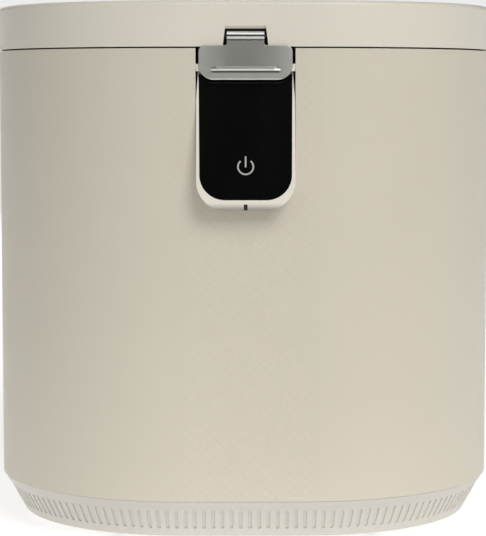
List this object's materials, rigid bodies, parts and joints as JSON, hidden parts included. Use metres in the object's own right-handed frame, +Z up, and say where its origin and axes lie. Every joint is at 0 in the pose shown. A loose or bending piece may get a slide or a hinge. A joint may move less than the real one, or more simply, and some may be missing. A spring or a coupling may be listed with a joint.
{
  "type": "electric food waste composter",
  "caption": "Upright countertop food waste composter with hinged lid, steel latch, leaning touch control, removable stirred bucket, gear drive, blower and slide-out carbon filter.",
  "frame": {"origin": "on the floor under the middle of the overall outline", "axes": "+Z up, the front with the latch and controls faces -Y, +X to the right seen from the front"},
  "size_m": [0.2842, 0.3189, 0.2943],
  "materials": {
    "cream_skirt": "matte",
    "dark_plastic": "matte",
    "black_rubber": "matte",
    "zinc_screw": "satin",
    "cream_shell": "satin",
    "magnet_grey": "matte",
    "cream_bezel": "satin",
    "black_glass": "gloss",
    "pale_print": "matte",
    "green_board": "satin",
    "liner_alloy": "satin",
    "insulation_felt": "matte",
    "gear_steel": "machined",
    "bucket_alloy": "satin",
    "bronze_bush": "satin",
    "satin_steel": "brushed",
    "motor_can": "satin",
    "grey_rubber": "matte",
    "grey_housing": "matte",
    "carbon_block": "rough",
    "brass_prong": "polished",
    "board_part": "satin",
    "bright_steel": "polished",
    "cream_lid": "satin",
    "lid_felt": "matte"
  },
  "bodies": {
    "housing": {"base_skirt": "cream_skirt", "base_plate": "dark_plastic", "rubber_feet": "black_rubber", "base_screws": "zinc_screw", "outer_shell": "cream_shell", "rear_panel": "cream_shell", "shell_screws": "zinc_screw", "top_deck": "dark_plastic", "catch_box": "dark_plastic", "latch_magnet": "magnet_grey", "control_bezel": "cream_bezel", "display_glass": "black_glass", "power_symbol": "pale_print", "control_board": "green_board", "bezel_plug": "dark_plastic", "chamber_liner": "liner_alloy", "insulation_sleeve": "insulation_felt", "heater_plate": "liner_alloy", "heater_element": "gear_steel", "temperature_probe": "gear_steel", "gear_axle": "gear_steel", "gearbox_tray": "liner_alloy", "gearbox_cover": "liner_alloy", "gearbox_screws": "zinc_screw", "shaft_bushings": "bronze_bush", "drive_motor": "motor_can", "exhaust_duct": "grey_rubber", "blower_housing": "dark_plastic", "blower_motor": "motor_can", "filter_bay": "dark_plastic", "inlet_socket": "dark_plastic", "inlet_pins": "brass_prong", "main_board": "green_board", "board_parts": "board_part", "board_standoffs": "zinc_screw", "hinge_brackets": "satin_steel", "hinge_pins": "bright_steel"},
    "lid": {"lid_outer": "cream_lid", "lid_liner": "grey_housing", "lid_gasket": "grey_rubber", "lid_insulation": "lid_felt", "lid_screws": "zinc_screw", "lid_hinge_arms": "satin_steel", "latch_pin": "bright_steel"},
    "latch": {"latch_plate": "satin_steel", "latch_keeper": "magnet_grey"},
    "bucket": {"bucket": "bucket_alloy", "bucket_bushing": "bronze_bush"},
    "bail": {"bail_handle": "satin_steel", "bail_grip": "black_rubber"},
    "agitator": {"agitator": "liner_alloy", "agitator_shaft": "gear_steel"},
    "drive_output": {"output_gear": "gear_steel", "output_shaft": "gear_steel"},
    "idler": {"intermediate_gear": "gear_steel"},
    "pinion": {"motor_pinion": "gear_steel"},
    "impeller": {"blower_impeller": "grey_housing"},
    "filter": {"filter_drawer": "grey_housing", "carbon_cartridge": "carbon_block"}
  },
  "joints": [
    {"name": "lid_hinge", "type": "hinge", "parent": "housing", "child": "lid", "pos_m": [0, 0.1545, 0.2693], "axis": [-1, 0, 0], "range_deg": [0, 95]},
    {"name": "latch_hinge", "type": "hinge", "parent": "lid", "child": "latch", "pos_m": [0, -0.1452, 0.2752], "axis": [-1, 0, 0], "range_deg": [0, 115]},
    {"name": "bucket_lift", "type": "slide", "parent": "housing", "child": "bucket", "axis": [0, 0, 1], "range_m": [0, 0.016]},
    {"name": "bail_swing", "type": "hinge", "parent": "bucket", "child": "bail", "pos_m": [0, -0.0288, 0.247], "axis": [-1, 0, 0], "range_deg": [0, 11]},
    {"name": "drive_spin", "type": "hinge", "parent": "housing", "child": "drive_output", "pos_m": [0, -0.0288, 0.06], "axis": [0, 0, 1], "continuous": true},
    {"name": "agitator_spin", "type": "hinge", "parent": "bucket", "child": "agitator", "pos_m": [0, -0.0288, 0.112], "axis": [0, 0, 1], "continuous": true},
    {"name": "idler_spin", "type": "hinge", "parent": "housing", "child": "idler", "pos_m": [0, 0.0162, 0.056], "axis": [0, 0, 1], "continuous": true},
    {"name": "pinion_spin", "type": "hinge", "parent": "housing", "child": "pinion", "pos_m": [0, 0.0522, 0.051], "axis": [0, 0, 1], "continuous": true},
    {"name": "impeller_spin", "type": "hinge", "parent": "housing", "child": "impeller", "pos_m": [0, 0.09, 0.222], "axis": [0, 1, 0], "continuous": true},
    {"name": "filter_slide", "type": "slide", "parent": "housing", "child": "filter", "axis": [0, 1, 0], "range_m": [0, 0.06]}
  ],
  "couplings": [
    {"joint": "idler_spin", "follows": "drive_spin", "ratio": -3},
    {"joint": "pinion_spin", "follows": "drive_spin", "ratio": 9},
    {"joint": "agitator_spin", "follows": "drive_spin", "ratio": 1}
  ]
}
